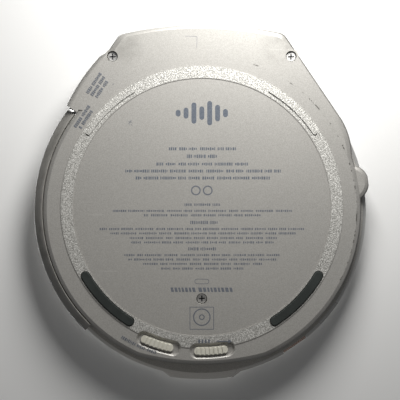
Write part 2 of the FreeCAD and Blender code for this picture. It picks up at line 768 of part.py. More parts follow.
def make_lid_electronics():
    board = cylinder("lid_board_disc", "56", "lid_board_top - cover_top - 0.05",
                     ("0", "lid_y", "cover_top + 0.05"))
    rear = box("lid_board_cut", ("-60", "lid_y - 34", "cover_top - 1"), ("120", "100", "4"))
    keep(cut("lid_board", board, rear), "lid_board")
    domes = []
    for name, (turn, _) in KEYS.items():
        at = LID_CENTRE + bearing_vector(key_bearing(turn)) * size("key_radius")
        domes.append(cylinder(f"dome_{name}", "2.0", "dome_top - lid_board_top",
                              (at.x, at.y, "lid_board_top")))
    group("key_domes", domes)


def make_keys():
    """Keys with a flange that holds them under the shell."""
    for name, (turn, length) in KEYS.items():
        body = new_body(name)
        bearing = key_bearing(turn)
        wide = banana(size("key_radius"), size("key_width") + 1.4, bearing, length + 1.4, LID_CENTRE)
        pad(body, f"{name}_flange", wide, "key_flange", "key_flange_top - 0.25")
        cap = banana(size("key_radius"), size("key_width"), bearing, length, LID_CENTRE)
        pad(body, f"{name}_cap", cap, "key_flange", "key_top")
        dress(body, "Fillet", "Radius", "0.4", at_height(size("key_top")))


def make_hinge_pins():
    length = "gutter_half - barrel_half + 2 * pin_reach - 0.2"
    pins = [cylinder(f"hinge_pin_{along}", "pin_radius - 0.005", length,
                     (f"{sign} * (barrel_half - pin_reach + 0.1)", "hinge_y", "hinge_z"), along)
            for sign, along in ((-1, "-x"), (1, "x"))]
    return group("hinge_pins", pins)


# ---------------------------------------------------------------- controls

REST_SHIFT = 0.5


def make_slider(name, bearing):
    """A ribbed knob that slides along its well, with a stem up to its switch."""
    body = new_body(f"{name}_slider")
    rest = bearing - math.degrees(REST_SHIFT / size("well_radius"))
    knob = banana(size("well_radius"), size("knob_width"), rest, size("knob_length"))
    pad(body, f"{name}_knob", knob, "knob_bottom", "knob_top")
    pitch = 1.55
    for number in range(7):
        turn = math.degrees((number - 3) * pitch / size("well_radius"))
        rib = tangent_block(rest + turn, size("well_radius") + size("knob_width") / 2 - 0.25, 0.32,
                            size("knob_width") - 0.5)
        pad(body, f"{name}_rib_{number}", rib, "knob_bottom - 0.25", "knob_bottom + 0.1")
    stem = tangent_block(rest, size("well_radius") + 0.45, 0.9, 0.9)
    pad(body, f"{name}_stem", stem, "knob_top - 0.1", "board_top + 0.5")
    return body


def make_open_button():
    """A curved push button at the front edge and the steel hook that it carries."""
    bearing = size("button_bearing")
    button = new_body("open_button")
    face = tangent_block(bearing, 65.7, size("button_half"), 3.8)
    pad(button, "button_face", face, "8.7", "11.2")
    pad(button, "button_stem", tangent_block(bearing, 62.9, 2.0, 1.0), "strip_top", "9")
    outer = new_sketch(button, "button_trim", [Part.Circle(LID_CENTRE, Vector(0, 0, 1), r)
                       for r in (size("lid_radius") + 0.3, size("lid_radius") + 9)], height="8")
    feature(button, "Pocket", outer, "4")
    slide = new_body("latch_slide")
    end = SPINDLE + bearing_vector(bearing) * 61.4
    hook_y = size("hook_y")
    strip = polygon([Vector(-2, hook_y, 0), Vector(2, hook_y, 0), Vector(2, hook_y + 3, 0),
                     end + Vector(1.4, 2.0, 0), end + Vector(-1.2, 0, 0)])
    pad(slide, "latch_strip", strip, "7.0", "strip_top")
    pad(slide, "latch_post", rectangle(-2, hook_y, 2, hook_y + 0.7), "7.0", "catch_top + 1.2")
    pad(slide, "latch_nose", rectangle(-2, hook_y - 1.2, 2, hook_y + 0.3), "catch_top + 0.4",
        "catch_top + 1.2")
    return button


# ---------------------------------------------------------------- sockets and boards

# A round nose on each socket stands in the casing's hole.
NOSE_WALL = 0.25
NOSE_REACH = 1.3
NOSE_GAP = 0.12


def socket(name, point, outward, bore, bore_depth, half_width, depth, height, pin=False):
    """A block with a plug bore, set along a level direction behind the casing wall."""
    base = size("socket_z")
    along = Vector(outward.y, -outward.x, 0)
    body = new_body(name)
    face = point
    back = point - outward * depth
    block = polygon([back - along * half_width, back + along * half_width,
                     face + along * half_width, face - along * half_width])
    pad(body, f"{name}_block", block, str(base - height / 2), str(base + height / 2))
    start = face - outward * bore_depth + Vector(0, 0, base)
    nose = upright_plane_sketch(body, f"{name}_nose", face + Vector(0, 0, base) - outward * 0.3, outward,
                                bore + NOSE_WALL)
    feature(body, "Pad", nose, NOSE_REACH + 0.3)
    sketch = upright_plane_sketch(body, f"{name}_bore", start, outward, bore)
    feature(body, "Pocket", sketch, bore_depth + NOSE_REACH + 1)
    if pin:
        tip = upright_plane_sketch(body, f"{name}_pin", start - outward * 0.2, outward, 0.65)
        feature(body, "Pad", tip, bore_depth - 1.0)
    return body


PANEL_SOCKET_SET_BACK = 1.9


def make_sockets():
    out = bearing_vector(BOSS_BEARING)
    boss_face = SPINDLE + out * (size("boss_radius") - 5.6)
    socket("headphone_jack", boss_face, out, size("plug_bore"), 12.5, 3.2, 14.0, 4.9)
    middle, outward, along = panel_frame()
    for name, (offset, *shape) in PANEL_SOCKETS.items():
        at = middle + along * offset - outward * PANEL_SOCKET_SET_BACK
        socket(name, at, outward, *shape)


def make_main_board():
    """The main board fills the front of the casing, with holes for posts and slider stems."""
    body = new_body("main_board")
    edge = size("board_edge_y")
    radius = size("board_radius")
    half = math.sqrt(radius ** 2 - (edge - SPINDLE.y) ** 2)
    low = SPINDLE - Vector(0, radius, 0)
    outline = [Part.LineSegment(Vector(half, edge, 0), Vector(-half, edge, 0)),
               Part.Arc(Vector(-half, edge, 0), low, Vector(half, edge, 0))]
    pad(body, "board", outline, "board_bottom", "board_top")
    round_pocket(body, "board_screw_hole", "screw_well + 1.4", "board_bottom - 1", "board_top + 1",
                 "front_screw_y", "0")
    for name, bearing in WELLS.items():
        slot = tangent_block(bearing, size("well_radius") + 1.0, 3.4, 2.0)
        pocket(body, f"board_slot_{name}", slot, "board_bottom - 1", "board_top + 1")
    return body


# Chips: x, y, width, depth, height. Capacitors: x, y, radius.
CHIPS = [(-30, -40, 11, 11, 1.3), (14, -36, 13, 13, 1.4), (32, -36, 8, 6, 1.2), (-14, -48, 6, 5, 1.0),
         (-8, -30.5, 7, 5, 1.1), (34, -46, 5, 5, 1.0)]
CAPACITORS = [(-42, -31, 2.4), (-36, -30, 1.8), (44, -31, 2.4), (26, -46, 2.0), (-20, -36, 1.8)]


def make_board_parts():
    """Chips, capacitors, switches and the lid switch, all standing on the main board."""
    chips = [box(f"chip_{n}", (x - wide / 2, y - deep / 2, "board_top + 0.02"), (wide, deep, tall))
             for n, (x, y, wide, deep, tall) in enumerate(CHIPS)]
    group("board_chips", chips)
    group("capacitors", [cylinder(f"capacitor_{n}", radius, "2.9", (x, y, "board_top + 0.02"))
                         for n, (x, y, radius) in enumerate(CAPACITORS)])
    switches = []
    for name, bearing in WELLS.items():
        at = SPINDLE + bearing_vector(bearing) * size("well_radius")
        cover = box(f"switch_{name}", (at.x - 4.2, at.y - 1.6, "board_top + 0.7"), (8.4, 3.2, 1.1))
        legs = [box(f"switch_leg_{name}_{sign}", (at.x + sign * 4.6 - 0.4, at.y - 1.6, "board_top + 0.02"),
                    (0.8, 3.2, 1.78)) for sign in (-1, 1)]
        switches.append(fuse(f"switch_body_{name}", cover, *legs))
    group("slide_switches", switches)
    base = box("lid_switch_base", ("-27", "-53.2", "board_top + 0.02"), ("5", "3", "2.7"))
    lever = box("lid_switch_lever", ("-26.6", "-52.6", "board_top + 2.7"), ("4.2", "1.4", "0.3"))
    keep(fuse("lid_switch", base, lever), "lid_switch")


# ---------------------------------------------------------------- disc drive

def make_chassis():
    """A steel plate on rubber dampers that carries the motors, the rod and the feed screw."""
    body = new_body("mechanism_chassis")
    sy = size("spindle_y")
    pad(body, "chassis_plate", rectangle(-17.5, sy - 22.8, 58.2, sy + 13.6), "2.8", "3.4")
    pocket(body, "sled_window", rectangle(12.4, sy - 13.5, 56.8, sy + 6.0), "2", "4")
    pocket(body, "corner_cut", polygon([Vector(60, sy - 23, 0), Vector(60, sy - 14, 0),
           Vector(47, sy - 23, 0)]), "2", "4")
    for number, (x, y) in enumerate(DAMPERS):
        round_pocket(body, f"damper_hole_{number}", "1.6", "2", "4", str(y), str(x))
    for number, x in enumerate(("11.35", "57.5")):
        rod = rectangle(sy + size("rod_y") - 1.9, 3.3, sy + size("rod_y") + 1.9, 7.7)
        sketch = new_sketch(body, f"rod_post_{number}", rod, "YZ_Plane", x)
        feature(body, "Pad", sketch, "0.6")
        screw = rectangle(sy + size("screw_axis_y") - 1.9, 3.3, sy + size("screw_axis_y") + 1.9, 7.7)
        sketch = new_sketch(body, f"screw_post_{number}", screw, "YZ_Plane", x)
        feature(body, "Pad", sketch, "0.6")
    for name, y, z, radius in (("rod", "rod_y", "rod_z", size("rod_radius")),
                               ("screw", "screw_axis_y", "screw_axis_z", size("feed_radius") + 0.05)):
        hole = Part.Circle(Vector(sy + size(y), size(z), 0), Vector(0, 0, 1), radius)
        sketch = new_sketch(body, f"{name}_holes", [hole], "YZ_Plane", "10")
        feature(body, "Pocket", sketch, "50")
    return body


def make_dampers():
    dampers = []
    for number, (x, y) in enumerate(DAMPERS):
        low = cylinder(f"damper_low_{number}", "2.3", "0.7", (x, y, "2.05"))
        waist = cylinder(f"damper_waist_{number}", "1.55", "0.8", (x, y, "2.7"))
        high = cylinder(f"damper_high_{number}", "2.3", "0.8", (x, y, "3.45"))
        hole = cylinder(f"damper_hole_{number}", "0.95", "4", (x, y, "1.5"))
        dampers.append(cut(f"damper_{number}", fuse(f"damper_blank_{number}", low, waist, high), hole))
    return group("chassis_dampers", dampers)


def make_spindle():
    can = cylinder("motor_can", "motor_radius", "motor_top - motor_bottom",
                   ("0", "spindle_y", "motor_bottom"))
    foot = cylinder("motor_foot", "motor_radius - 2", "motor_bottom - 3.4", ("0", "spindle_y", "3.4"))
    bore = cylinder("motor_bore", "shaft_radius + 0.04", "10", ("0", "spindle_y", "3.9"))
    keep(cut("spindle_motor", fuse("motor_blank", can, foot), bore), "spindle_motor")
    keep(cylinder("spindle_shaft", "shaft_radius", "7.4", ("0", "spindle_y", "4.1")), "spindle_shaft")
    flange = cylinder("flange", "flange_radius", "disc_seat - flange_bottom",
                      ("0", "spindle_y", "flange_bottom"))
    hub = cylinder("hub", "hub_radius", "hub_top - disc_seat - 0.9", ("0", "spindle_y", "disc_seat"))
    nose = doc.addObject("Part::Cone", "hub_nose")
    nose.setExpression("Radius1", formula("hub_radius"))
    nose.setExpression("Radius2", formula("hub_radius - 1.6"))
    nose.Height = 0.9
    place(nose, ("0", "spindle_y", "hub_top - 0.9"))
    bore = cylinder("turntable_bore", "shaft_radius", "2.4", ("0", "spindle_y", "flange_bottom"))
    balls, seats = [], []
    for number in range(3):
        at = SPINDLE + bearing_vector(120 * number) * 6.3
        for made, name, radius in ((balls, "chuck_ball", 1.2), (seats, "ball_seat", 1.25)):
            ball = doc.addObject("Part::Sphere", f"{name}_{number}")
            ball.Radius = radius
            ball.Placement = Placement(Vector(at.x, at.y, 11.35), Rotation())
            made.append(ball)
    keep(cut("turntable", fuse("turntable_blank", flange, hub, nose), bore, *seats), "turntable")
    group("chuck_balls", balls)


def make_pickup():
    sy = size("spindle_y")
    body = new_body("pickup_sled")
    half = size("sled_half")
    pad(body, "sled_block", rectangle(size("sled_front"), sy - half, size("sled_rear"), sy + half),
        "sled_bottom", "sled_top")
    pad(body, "sled_arm", rectangle(15, sy - 14.95, 22, sy - half + 1), "4.9", "6.7")
    pocket(body, "sled_well", rectangle(20.2, sy - 5.2, 27.8, sy + 3.2), "6.2", "9")
    rod = Part.Circle(Vector(sy + size("rod_y"), size("rod_z"), 0), Vector(0, 0, 1),
                      size("rod_radius") + 0.04)
    sketch = new_sketch(body, "rod_bore", [rod], "YZ_Plane", "10")
    feature(body, "Pocket", sketch, "30")
    holder = box("holder_block", ("lens_x - 3.3", "spindle_y - 4.6", "7.4"), ("6.6", "7.2", "1.6"))
    ring = cylinder("holder_ring", "2.9", "0.9", ("lens_x", "spindle_y - 1", "8.3"))
    hole = cylinder("holder_hole", "2.2", "4", ("lens_x", "spindle_y - 1", "6.9"))
    keep(cut("lens_holder", fuse("holder_blank", holder, ring), hole), "lens_holder")
    barrel = cylinder("lens_barrel", "2.2", "1.2", ("lens_x", "spindle_y - 1", "7.9"))
    keep(barrel, "objective_lens")
    keep(cylinder("sled_shaft", "rod_radius - 0.005", "46.8", ("11.3", "spindle_y + rod_y", "rod_z"), "x"),
         "sled_shaft")
    keep(cylinder("feed_screw", "feed_radius", "47.3",
                  ("10.8", "spindle_y + screw_axis_y", "screw_axis_z"), "x"), "feed_screw")


def make_feed_motor():
    """A small flat-sided motor behind the feed screw."""
    block = box("feed_motor_block", ("-4", "spindle_y + screw_axis_y - 3.6", "3.45"),
                ("14.6", "7.2", "4.7"))
    keep(block, "feed_motor")


# ---------------------------------------------------------------- batteries

def make_batteries():
    cells = []
    for number in range(2):
        y = f"cell_front_y + {number} * (cell_width + 0.2)"
        cell = box(f"cell_{number}", ("-cell_length / 2", y, "base_floor + 0.15"),
                   ("cell_length", "cell_width", "cell_height"))
        rounded = doc.addObject("Part::Fillet", f"battery_cell_{number}")
        rounded.Base = cell
        doc.recompute()
        long_edges = [n for n, edge in enumerate(cell.Shape.Edges, 1)
                      if abs(edge.Length - size("cell_length")) < 1e-6]
        rounded.Edges = [(n, 1.4, 1.4) for n in long_edges]
        cells.append(rounded)
    group("battery_cells", cells)
    contacts = []
    for sign in (-1, 1):
        for number in range(2):
            y = f"cell_front_y + {number} * (cell_width + 0.2) + 4.8"
            x = f"{sign} * (cell_length / 2 + 0.35) - 0.15"
            contacts.append(box(f"contact_{sign + 1}_{number}", (x, y, "base_floor + 0.1"),
                                ("0.3", "7", "5.6")))
    group("battery_contacts", contacts)
    door = box("door_plate", ("-cell_length / 2 - 0.7", "cell_front_y - 0.1", "tray_under + 0.02"),
               ("cell_length + 1.4", "33.8", "tray_top - tray_under - 0.04"))
    grip = box("door_grip", ("-9", "cell_front_y + 1.6", "tray_top - 0.4"), ("18", "3", "2"))
    keep(cut("battery_door", door, grip), "battery_door")


# ---------------------------------------------------------------- build and write

def build():
    make_bottom_cabinet()
    make_side_rail()
    make_rubber_feet()
    make_screws()
    make_upper_cabinet()
    make_lid_shell()
    make_lid_inner_cover()
    make_lid_electronics()
    make_keys()
    make_hinge_pins()
    for name, bearing in WELLS.items():
        make_slider(name, bearing)
    make_open_button()
    make_sockets()
    make_main_board()
    make_board_parts()
    make_chassis()
    make_dampers()
    make_spindle()
    make_feed_motor()
    make_pickup()
    make_batteries()


def write():
    doc.recompute()
    for item in doc.Objects:
        bad = [state for state in item.State if state in ("Invalid", "Error")]
        if bad:
            raise SystemExit(f"{item.Label} ({item.Name}) is {bad}")
    os.makedirs("parts", exist_ok=True)
    for node in NODES:
        shape = node.Shape
        if shape.isNull() or not shape.isValid() or not shape.Solids:
            raise SystemExit(f"{node.Label} has no sound solid")
    for node in NODES:
        node.Shape.exportStep(f"parts/{node.Label}.step")
        print(node.Label, len(node.Shape.Solids), round(node.Shape.Volume, 1))


build()
write()
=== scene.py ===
import json
import math
import random

import bmesh
import bpy
from mathutils import Matrix, Vector

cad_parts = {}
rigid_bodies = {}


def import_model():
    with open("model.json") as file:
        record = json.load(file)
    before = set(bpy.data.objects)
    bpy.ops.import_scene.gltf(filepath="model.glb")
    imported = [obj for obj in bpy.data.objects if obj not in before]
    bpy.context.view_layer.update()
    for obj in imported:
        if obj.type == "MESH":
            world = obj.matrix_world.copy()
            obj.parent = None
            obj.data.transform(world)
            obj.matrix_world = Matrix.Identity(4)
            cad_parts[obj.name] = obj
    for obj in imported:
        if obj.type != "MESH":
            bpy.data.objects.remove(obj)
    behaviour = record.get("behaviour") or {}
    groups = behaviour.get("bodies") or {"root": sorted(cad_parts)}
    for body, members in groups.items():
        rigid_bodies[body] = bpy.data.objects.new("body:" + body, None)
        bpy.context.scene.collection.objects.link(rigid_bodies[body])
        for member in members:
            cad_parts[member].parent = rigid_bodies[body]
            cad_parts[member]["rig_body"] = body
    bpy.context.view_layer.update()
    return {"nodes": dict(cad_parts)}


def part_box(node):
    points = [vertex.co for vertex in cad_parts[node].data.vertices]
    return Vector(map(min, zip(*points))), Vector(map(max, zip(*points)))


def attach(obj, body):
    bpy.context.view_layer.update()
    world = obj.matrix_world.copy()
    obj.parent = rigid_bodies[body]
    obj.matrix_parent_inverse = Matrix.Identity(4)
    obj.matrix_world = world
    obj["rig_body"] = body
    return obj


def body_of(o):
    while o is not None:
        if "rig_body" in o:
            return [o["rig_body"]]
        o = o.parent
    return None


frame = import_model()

MM = 0.001
NODES = frame["nodes"]

# Places taken from the frame, in metres.
TURNTABLE_LOW, TURNTABLE_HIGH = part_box("turntable")
SPINDLE = (TURNTABLE_LOW + TURNTABLE_HIGH) / 2
LID_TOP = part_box("lid_shell")[1].z
TOP = max(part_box("play_key")[1].z, LID_TOP)

# Sizes of the underside and the lid that the CAD model has too, in metres.
UNDERSIDE = 0.8 * MM
RING_FACE = 0.55 * MM
RING_INNER = 49.8 * MM
RING_OUTER = 54.7 * MM
LID_CENTRE_Y = -3.6 * MM
BASE_CENTRE_Y = -3.0 * MM
WELL_RADIUS = 55.8 * MM
SCREW_HEAD_RADIUS = 1.8 * MM
HINGE_CORNER = (31 * MM, 61.5 * MM, 0)

# The layer of print and marks on the underside.
PRINT_THICKNESS = 0.02 * MM
PRINT_LOW = UNDERSIDE - PRINT_THICKNESS
PRINT_HIGH = UNDERSIDE + PRINT_THICKNESS


# ---------------------------------------------------------------- nodes and materials

class Nodes:
    """A short way to write a material's node tree."""

    def __init__(self, name):
        self.material = bpy.data.materials.new(name)
        self.material.use_nodes = True
        self.tree = self.material.node_tree
        self.shader = self.tree.nodes["Principled BSDF"]

    def add(self, kind, **settings):
        """A new node with its settings."""
        node = self.tree.nodes.new(kind)
        for key, value in settings.items():
            setattr(node, key, value)
        return node

    def link(self, source, target):
        """Joins an output to an input."""
        self.tree.links.new(source, target)

    def math(self, operation, first, second=0.0, clamp=False):
        """A sum on two values, each a number or an output."""
        node = self.add("ShaderNodeMath", operation=operation, use_clamp=clamp)
        for socket, value in zip(node.inputs, (first, second)):
            if isinstance(value, (int, float)):
                socket.default_value = value
            else:
                self.link(value, socket)
        return node.outputs[0]

    def ramp(self, source, low, high, first=(0, 0, 0, 1), last=(1, 1, 1, 1)):
        """Goes from the first colour at low to the last colour at high."""
        node = self.add("ShaderNodeValToRGB")
        node.color_ramp.elements[0].position = low
        node.color_ramp.elements[1].position = high
        node.color_ramp.elements[0].color = first
        node.color_ramp.elements[1].color = last
        self.link(source, node.inputs["Fac"])
        return node.outputs["Color"]

    def place(self):
        """The point on the object, in metres of the row frame."""
        return self.add("ShaderNodeTexCoord").outputs["Object"]

    def noise(self, scale, detail=2.0, rough=0.5, stretch=None, turn=0.0):
        """A noise texture. stretch gives a scale for each axis."""
        node = self.add("ShaderNodeTexNoise")
        node.inputs["Scale"].default_value = scale
        node.inputs["Detail"].default_value = detail
        node.inputs["Roughness"].default_value = rough
        source = self.place()
        if stretch:
            mapping = self.add("ShaderNodeMapping")
            mapping.inputs["Rotation"].default_value = (0, 0, turn)
            mapping.inputs["Scale"].default_value = stretch
            self.link(source, mapping.inputs["Vector"])
            source = mapping.outputs["Vector"]
        self.link(source, node.inputs["Vector"])
        return node.outputs["Fac"]

    def mix(self, amount, first, second):
        """A colour mix. Each colour is an output or a tuple."""
        node = self.add("ShaderNodeMix", data_type="RGBA")
        self.link(amount, node.inputs["Factor"])
        for name, value in (("A", first), ("B", second)):
            socket = next(s for s in node.inputs if s.name == name and s.type == "RGBA")
            if isinstance(value, tuple):
                socket.default_value = (*value, 1)
            else:
                self.link(value, socket)
        return next(s for s in node.outputs if s.type == "RGBA")

    def span(self, source, low, high):
        """Maps 0..1 onto low..high."""
        node = self.add("ShaderNodeMapRange")
        node.inputs["To Min"].default_value = low
        node.inputs["To Max"].default_value = high
        self.link(source, node.inputs["Value"])
        return node.outputs["Result"]

    def bump(self, height, strength, distance):
        """A bump node, with the height's distance in metres."""
        node = self.add("ShaderNodeBump")
        node.inputs["Strength"].default_value = strength
        node.inputs["Distance"].default_value = distance
        self.link(height, node.inputs["Height"])
        return node

    def set(self, **values):
        """Uniform values, set straight on the shader's sockets."""
        for key, value in values.items():
            self.shader.inputs[key.replace("_", " ")].default_value = value

    def into(self, source, socket):
        """Joins an output to the shader."""
        self.link(source, self.shader.inputs[socket])


def radial(nodes, centre_y=None):
    """The distance from the spindle's axis, or from an upright axis at centre_y."""
    offset = nodes.add("ShaderNodeVectorMath", operation="SUBTRACT")
    offset.inputs[1].default_value = (0, SPINDLE.y if centre_y is None else centre_y, 0)
    nodes.link(nodes.place(), offset.inputs[0])
    flat = nodes.add("ShaderNodeVectorMath", operation="MULTIPLY")
    flat.inputs[1].default_value = (1, 1, 0)
    nodes.link(offset.outputs[0], flat.inputs[0])
    length = nodes.add("ShaderNodeVectorMath", operation="LENGTH")
    nodes.link(flat.outputs[0], length.inputs[0])
    return length.outputs["Value"]


def height(nodes):
    """The height above the feet."""
    split = nodes.add("ShaderNodeSeparateXYZ")
    nodes.link(nodes.place(), split.inputs[0])
    return split.outputs["Z"]


def ring_mask(nodes):
    """1 on the raised textured ring of the underside."""
    distance = radial(nodes)
    inside = nodes.math("GREATER_THAN", distance, RING_INNER + 0.25 * MM)
    outside = nodes.math("LESS_THAN", distance, RING_OUTER - 0.2 * MM)
    low = nodes.math("LESS_THAN", height(nodes), RING_FACE + 0.06 * MM)
    band = nodes.math("MULTIPLY", inside, outside)
    return nodes.math("MULTIPLY", band, low)


def scratches(nodes, scale, stretch, turn, low):
    """Thin straight marks: 1 on a mark."""
    field = nodes.noise(scale, 1.0, 0.4, stretch, turn)
    patch = nodes.noise(38, 2.0)
    marks = nodes.ramp(field, low, low + 0.012)
    where = nodes.ramp(patch, 0.56, 0.64)
    return nodes.math("MULTIPLY", marks, where)


DIRT_INNER = 59.7 * MM
DIRT_OUTER = 60.15 * MM


def edge_dirt(nodes):
    """1 on specks of dirt that follow the base's edge on the -X side."""
    distance = radial(nodes, BASE_CENTRE_Y)
    outside = nodes.math("GREATER_THAN", distance, DIRT_INNER)
    inside = nodes.math("LESS_THAN", distance, DIRT_OUTER)
    line = nodes.math("MULTIPLY", outside, inside)
    split = nodes.add("ShaderNodeSeparateXYZ")
    nodes.link(nodes.place(), split.inputs[0])
    this_side = nodes.math("LESS_THAN", split.outputs["X"], -20 * MM)
    behind = nodes.math("GREATER_THAN", split.outputs["Y"], -30 * MM)
    specks = nodes.ramp(nodes.noise(420, 4.0, 0.7), 0.5, 0.58)
    place = nodes.math("MULTIPLY", this_side, behind)
    return nodes.math("MULTIPLY", nodes.math("MULTIPLY", line, place), specks)


def painted_corner_shade(nodes):
    """Painted shade: a soft dark patch near each rear corner of the hinge block, where the curved edge
    turns away from the light. The fold repeats it in front.
    """
    fold = nodes.add("ShaderNodeVectorMath", operation="ABSOLUTE")
    nodes.link(nodes.place(), fold.inputs[0])
    offset = nodes.add("ShaderNodeVectorMath", operation="SUBTRACT")
    offset.inputs[1].default_value = HINGE_CORNER
    nodes.link(fold.outputs[0], offset.inputs[0])
    length = nodes.add("ShaderNodeVectorMath", operation="LENGTH")
    nodes.link(offset.outputs[0], length.inputs[0])
    centimetres = nodes.math("MULTIPLY", length.outputs["Value"], 100)
    near = nodes.ramp(centimetres, 0.2, 1.1, (1, 1, 1, 1), (0, 0, 0, 1))
    return nodes.math("MULTIPLY", near, nodes.ramp(nodes.noise(130, 4.0, 0.6), 0.35, 0.7))


def silver_case():
    """Warm silver paint, matte, with fine flakes, light scratches, a sandy ring, a dirty edge and painted
    shade near the rear corners.
    """
    nodes = Nodes("silver_case_paint")
    flakes = nodes.noise(3400, 2.0, 0.65)
    cloud = nodes.noise(26, 3.0)
    base = nodes.mix(nodes.ramp(flakes, 0.32, 0.68), (0.33, 0.32, 0.298), (0.475, 0.465, 0.438))
    base = nodes.mix(nodes.math("MULTIPLY", cloud, 0.2), base, (0.33, 0.315, 0.285))
    mask = ring_mask(nodes)
    grain = nodes.noise(2300, 3.0, 0.75)
    sand = nodes.mix(nodes.ramp(grain, 0.42, 0.66), (0.26, 0.255, 0.235), (0.78, 0.77, 0.73))
    colour = nodes.mix(mask, base, sand)
    marks = scratches(nodes, 60, (1, 22, 1), 0.6, 0.7)
    colour = nodes.mix(nodes.math("MULTIPLY", marks, 0.35), colour, (0.56, 0.55, 0.52))
    stain = nodes.ramp(nodes.noise(75, 5.0, 0.75), 0.64, 0.72)
    colour = nodes.mix(nodes.math("MULTIPLY", stain, 0.16), colour, (0.2, 0.19, 0.17))
    # Painted shade: darkens the paint near the rear corners of the hinge block.
    colour = nodes.mix(nodes.math("MULTIPLY", painted_corner_shade(nodes), 0.55), colour, (0.15, 0.145, 0.13))
    colour = nodes.mix(nodes.math("MULTIPLY", edge_dirt(nodes), 0.8), colour, (0.06, 0.058, 0.05))
    nodes.into(colour, "Base Color")
    nodes.into(nodes.span(cloud, 0.4, 0.52), "Roughness")
    nodes.set(Metallic=0.5)
    fine = nodes.bump(flakes, 0.2, 0.02 * MM)
    rough = nodes.bump(nodes.math("MULTIPLY", grain, mask), 0.75, 0.14 * MM)
    nodes.link(fine.outputs["Normal"], rough.inputs["Normal"])
    nodes.into(rough.outputs["Normal"], "Normal")
    return nodes.material


def silver_rail():
    """The strip at the side: matte, a shade darker, with rubbed edges."""
    nodes = Nodes("silver_rail_paint")
    flakes = nodes.noise(5200, 2.0, 0.6)
    rub = nodes.ramp(nodes.noise(150, 4.0, 0.65), 0.5, 0.66)
    colour = nodes.mix(nodes.ramp(flakes, 0.3, 0.7), (0.33, 0.32, 0.295), (0.4, 0.388, 0.36))
    colour = nodes.mix(nodes.math("MULTIPLY", rub, 0.35), colour, (0.16, 0.15, 0.13))
    nodes.into(colour, "Base Color")
    nodes.set(Metallic=0.45, Roughness=0.52)
    nodes.into(nodes.bump(flakes, 0.15, 0.02 * MM).outputs["Normal"], "Normal")
    return nodes.material


def silver_lid():
    """Silver paint under clear gloss, with faint scratches."""
    nodes = Nodes("silver_lid_paint")
    flakes = nodes.noise(6200, 2.0, 0.6)
    cloud = nodes.noise(32, 3.0)
    colour = nodes.mix(nodes.ramp(flakes, 0.35, 0.65), (0.5, 0.498, 0.482), (0.6, 0.598, 0.58))
    marks = scratches(nodes, 70, (1, 26, 1), 2.1, 0.69)
    colour = nodes.mix(nodes.math("MULTIPLY", marks, 0.35), colour, (0.72, 0.71, 0.7))
    nodes.into(colour, "Base Color")
    nodes.into(nodes.span(cloud, 0.22, 0.34), "Roughness")
    nodes.set(Metallic=0.6, Coat_Weight=0.5, Coat_Roughness=0.08)
    nodes.into(nodes.bump(flakes, 0.06, 0.02 * MM).outputs["Normal"], "Normal")
    return nodes.material


def moulded(name, colour, worn, roughness, grain=3200, strength=0.25, metallic=0.0):
    """A moulded or plated surface with fine grain and worn patches."""
    nodes = Nodes(name)
    wear = nodes.ramp(nodes.noise(120, 4.0, 0.6), 0.45, 0.7)
    fine = nodes.noise(grain, 2.0, 0.6)
    shade = nodes.mix(nodes.math("MULTIPLY", wear, 0.5), colour, worn)
    nodes.into(shade, "Base Color")
    nodes.into(nodes.span(fine, roughness - 0.06, roughness + 0.08), "Roughness")
    nodes.set(Metallic=metallic)
    nodes.into(nodes.bump(fine, strength, 0.03 * MM).outputs["Normal"], "Normal")
    return nodes.material


def brushed(name, colour, roughness, stretch):
    """Bright metal with a drawn grain."""
    nodes = Nodes(name)
    lines = nodes.noise(900, 2.0, 0.5, stretch)
    dark = tuple(part * 0.8 for part in colour)
    nodes.into(nodes.mix(lines, dark, colour), "Base Color")
    nodes.into(nodes.span(lines, roughness - 0.06, roughness + 0.1), "Roughness")
    nodes.set(Metallic=1.0)
    nodes.into(nodes.bump(lines, 0.1, 0.02 * MM).outputs["Normal"], "Normal")
    return nodes.material


def circuit_board():
    """Green solder mask with lighter copper tracks."""
    nodes = Nodes("green_circuit_board")
    bricks = nodes.add("ShaderNodeTexBrick")
    bricks.inputs["Scale"].default_value = 260
    bricks.inputs["Mortar Size"].default_value = 0.06
    bricks.inputs["Color1"].default_value = (0.012, 0.12, 0.05, 1)
    bricks.inputs["Color2"].default_value = (0.016, 0.15, 0.06, 1)
    bricks.inputs["Mortar"].default_value = (0.05, 0.26, 0.1, 1)
    nodes.link(nodes.place(), bricks.inputs["Vector"])
    nodes.into(bricks.outputs["Color"], "Base Color")
    nodes.set(Roughness=0.32, Coat_Weight=0.4)
    nodes.into(nodes.bump(bricks.outputs["Fac"], 0.3, 0.03 * MM).outputs["Normal"], "Normal")
    return nodes.material


def lens_glass():
    """A coated lens: clear, with a faint blue tint."""
    nodes = Nodes("coated_lens_glass")
    tint = nodes.mix(nodes.noise(400, 2.0), (0.55, 0.62, 0.9), (0.72, 0.66, 0.95))
    nodes.into(tint, "Base Color")
    nodes.set(Roughness=0.04, IOR=1.5, Transmission_Weight=0.75, Coat_Weight=0.6)
    return nodes.material


def print_ink():
    """Slate-blue printing ink, slightly uneven."""
    nodes = Nodes("slate_print_ink")
    worn = nodes.ramp(nodes.noise(1500, 3.0, 0.7), 0.35, 0.7)
    nodes.into(nodes.mix(worn, (0.075, 0.09, 0.115), (0.12, 0.135, 0.16)), "Base Color")
    nodes.set(Roughness=0.55, Metallic=0.1)
    return nodes.material


def fine_ink_and_painted_shade():
    """The same ink in small marks, thinner and paler. On the raised captions and the hold mark it is
    painted shade, standing in for the shadows along their raised edges.
    """
    nodes = Nodes("slate_fine_ink")
    worn = nodes.ramp(nodes.noise(1100, 3.0, 0.7), 0.3, 0.75)
    nodes.into(nodes.mix(worn, (0.1, 0.112, 0.135), (0.17, 0.18, 0.2)), "Base Color")
    nodes.set(Roughness=0.5, Metallic=0.25)
    return nodes.material


